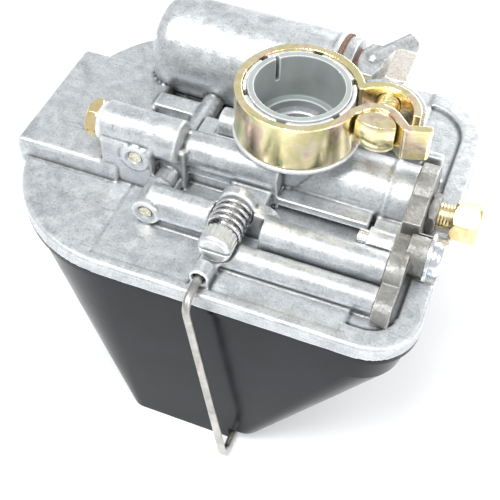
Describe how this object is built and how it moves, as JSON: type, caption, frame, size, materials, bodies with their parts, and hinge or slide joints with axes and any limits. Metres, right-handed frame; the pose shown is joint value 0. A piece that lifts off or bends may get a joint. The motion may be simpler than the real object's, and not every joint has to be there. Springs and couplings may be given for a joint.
{
  "type": "carburetor",
  "caption": "Moped carburetor with clamp-on intake socket, horizontal throttle barrel, side float chamber and a plastic air box held by a wire bail.",
  "frame": {"origin": "axis of the intake socket's bore, level with the top of the clamp band", "axes": "+Z along the intake socket's bore, away from the air box; +X along the throttle barrel towards the cable; -Y is the front with the idle screw"},
  "size_m": [0.1038, 0.0908, 0.083],
  "materials": {
    "zinc_casting": "as-cast satin zinc alloy",
    "nylon": "translucent white nylon",
    "yellow_zinc": "iridescent yellow zinc plate",
    "bright_zinc": "bright zinc plate",
    "slide_alloy": "machined",
    "brass": "machined",
    "spring_steel": "drawn wire",
    "cover_casting": "rough sand-grey casting",
    "dark_steel": "plain steel, oiled",
    "fibre": "red-brown vulcanised fibre",
    "turned_alloy": "turned",
    "float_foam": "moulded float",
    "black_plastic": "glossy moulded",
    "filter_foam": "open foam",
    "wire_steel": "plated wire"
  },
  "bodies": {
    "carburetor_body": {"body_casting": "zinc_casting", "insulating_bush": "nylon", "clamp_band": "yellow_zinc", "clamp_bolt": "yellow_zinc", "clamp_washer": "bright_zinc", "clamp_nut": "bright_zinc", "throttle_spring": "spring_steel", "needle_jet": "brass", "throttle_cover": "cover_casting", "cover_washer": "bright_zinc", "cover_screw": "bright_zinc", "adjuster_locknut": "dark_steel", "bowl_gasket": "fibre", "bowl_cover": "turned_alloy", "inlet_gasket": "fibre", "fuel_inlet": "turned_alloy", "inlet_strainer": "brass", "jet_plug": "brass", "jet_plug_gasket": "turned_alloy", "main_jet": "brass", "passage_plugs": "brass", "idle_spring": "spring_steel", "air_box": "black_plastic", "air_filter": "filter_foam"},
    "throttle": {"throttle_slide": "slide_alloy", "jet_needle": "brass", "needle_clip": "spring_steel"},
    "bail": {"wire_bail": "wire_steel"},
    "idle_screw_body": {"idle_screw": "bright_zinc"},
    "adjuster": {"cable_adjuster": "brass"},
    "float_unit": {"float": "float_foam", "float_needle": "brass"}
  },
  "joints": [
    {"name": "throttle_travel", "type": "slide", "parent": "carburetor_body", "child": "throttle", "axis": [1, 0, 0], "range_m": [0, 0.012], "stiffness_N_per_m": 250, "springref_m": -0.012, "deforming": ["throttle_spring"]},
    {"name": "bail_swing", "type": "hinge", "parent": "carburetor_body", "child": "bail", "pos_m": [-0.0074, 0, -0.0239], "axis": [0, -1, 0], "range_deg": [0, 95]},
    {"name": "idle_screw_turn", "type": "hinge", "parent": "carburetor_body", "child": "idle_screw_body", "pos_m": [-0.0062, -0.03, -0.02], "axis": [0, 1, 0], "range_deg": [-180, 180]},
    {"name": "cable_adjuster_turn", "type": "hinge", "parent": "carburetor_body", "child": "adjuster", "pos_m": [0.04, -0.0016, -0.024], "axis": [1, 0, 0], "range_deg": [-180, 180]},
    {"name": "float_travel", "type": "slide", "parent": "carburetor_body", "child": "float_unit", "axis": [1, 0, 0], "range_m": [0, 0.003]}
  ]
}
